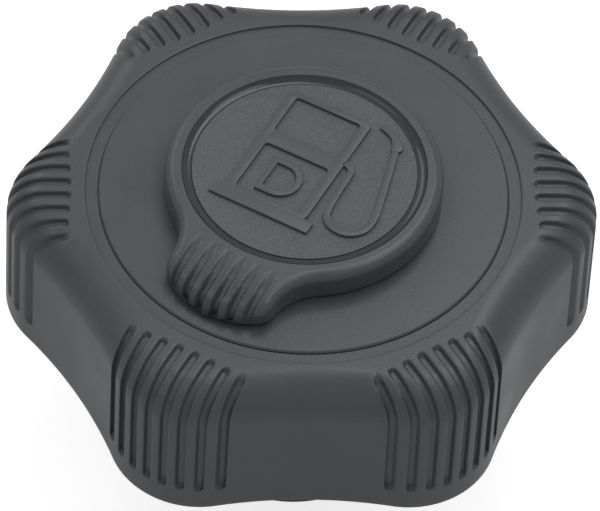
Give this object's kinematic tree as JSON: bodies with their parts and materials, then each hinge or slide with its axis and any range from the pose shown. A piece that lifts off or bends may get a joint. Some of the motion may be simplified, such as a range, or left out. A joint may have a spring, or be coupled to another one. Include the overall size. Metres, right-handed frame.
{
  "type": "fuel filler cap",
  "caption": "Lockable vented fuel filler cap with a fluted lobed grip, a swing-aside key cover and a bayonet plug with valves.",
  "frame": {"origin": "on the cap's axis at the lower end of its plug", "axes": "+Z along the cap's axis from the plug towards the grip's top; +X through the middle of one grip lobe"},
  "size_m": [0.1, 0.0906, 0.0687],
  "materials": {
    "grip_plastic": "fine grained, matte",
    "cap_plastic": "fine grained, satin",
    "inner_plastic": "smooth moulded",
    "natural_plastic": "smooth, waxy",
    "zinc_steel": "zinc plated",
    "spring_steel": "drawn",
    "lock_metal": "die cast, satin",
    "brass": "stamped",
    "seal_rubber": "matte"
  },
  "bodies": {
    "closure": {"closure_body": "inner_plastic", "neck_gasket": "seal_rubber", "slip_ring": "natural_plastic", "valve_cup": "inner_plastic", "valve_seat": "inner_plastic"},
    "grip": {"grip_shell": "grip_plastic", "top_disc": "cap_plastic", "retaining_ring": "inner_plastic", "ring_screws": "zinc_steel", "lock_housing": "inner_plastic", "housing_screws": "zinc_steel"},
    "cover": {"key_cover": "cap_plastic", "pivot_screw": "zinc_steel", "spring_washer": "spring_steel"},
    "key_lock": {"key_plug": "lock_metal", "lock_cam": "zinc_steel", "cam_screw": "zinc_steel"},
    "wafer_pack": {"wafer_1": "brass", "wafer_2": "brass", "wafer_3": "brass", "wafer_4": "brass"},
    "bolt_left": {"coupling_bolt_left": "lock_metal"},
    "bolt_right": {"coupling_bolt_right": "lock_metal"},
    "pressure_valve": {"pressure_disc": "inner_plastic", "pressure_seal": "seal_rubber", "pressure_spring": "spring_steel"},
    "inward_vent": {"vacuum_valve": "inner_plastic", "stem_clip": "spring_steel", "vacuum_spring": "spring_steel"}
  },
  "joints": [
    {"name": "grip_turn", "type": "hinge", "parent": "closure", "child": "grip", "pos_m": [0, 0, 0.05], "axis": [0, 0, 1], "continuous": true},
    {"name": "cover_swing", "type": "hinge", "parent": "grip", "child": "cover", "pos_m": [0.00925, 0.01602, 0.0632], "axis": [0, 0, 1], "range_deg": [0, 115]},
    {"name": "key_turn", "type": "hinge", "parent": "grip", "child": "key_lock", "pos_m": [0, 0, 0.055], "axis": [0, 0, 1], "range_deg": [0, 90]},
    {"name": "wafer_slide", "type": "slide", "parent": "key_lock", "child": "wafer_pack", "axis": [-0.5, -0.866, 0], "range_m": [0, 0.0008]},
    {"name": "bolt_left_slide", "type": "slide", "parent": "grip", "child": "bolt_left", "axis": [-0.866, 0.5, 0], "range_m": [0, 0.0024]},
    {"name": "bolt_right_slide", "type": "slide", "parent": "grip", "child": "bolt_right", "axis": [0.866, -0.5, 0], "range_m": [0, 0.0024]},
    {"name": "pressure_lift", "type": "slide", "parent": "closure", "child": "pressure_valve", "axis": [0, 0, 1], "range_m": [0, 0.003], "stiffness_N_per_m": 900, "deforming": ["pressure_spring"]},
    {"name": "inward_vent_drop", "type": "slide", "parent": "pressure_valve", "child": "inward_vent", "axis": [0, 0, -1], "range_m": [0, 0.0015], "stiffness_N_per_m": 150, "deforming": ["vacuum_spring"]}
  ],
  "couplings": [
    {"joint": "bolt_left_slide", "follows": "key_turn", "m_per_rad": 0.0015024},
    {"joint": "bolt_right_slide", "follows": "key_turn", "m_per_rad": 0.0015024}
  ]
}
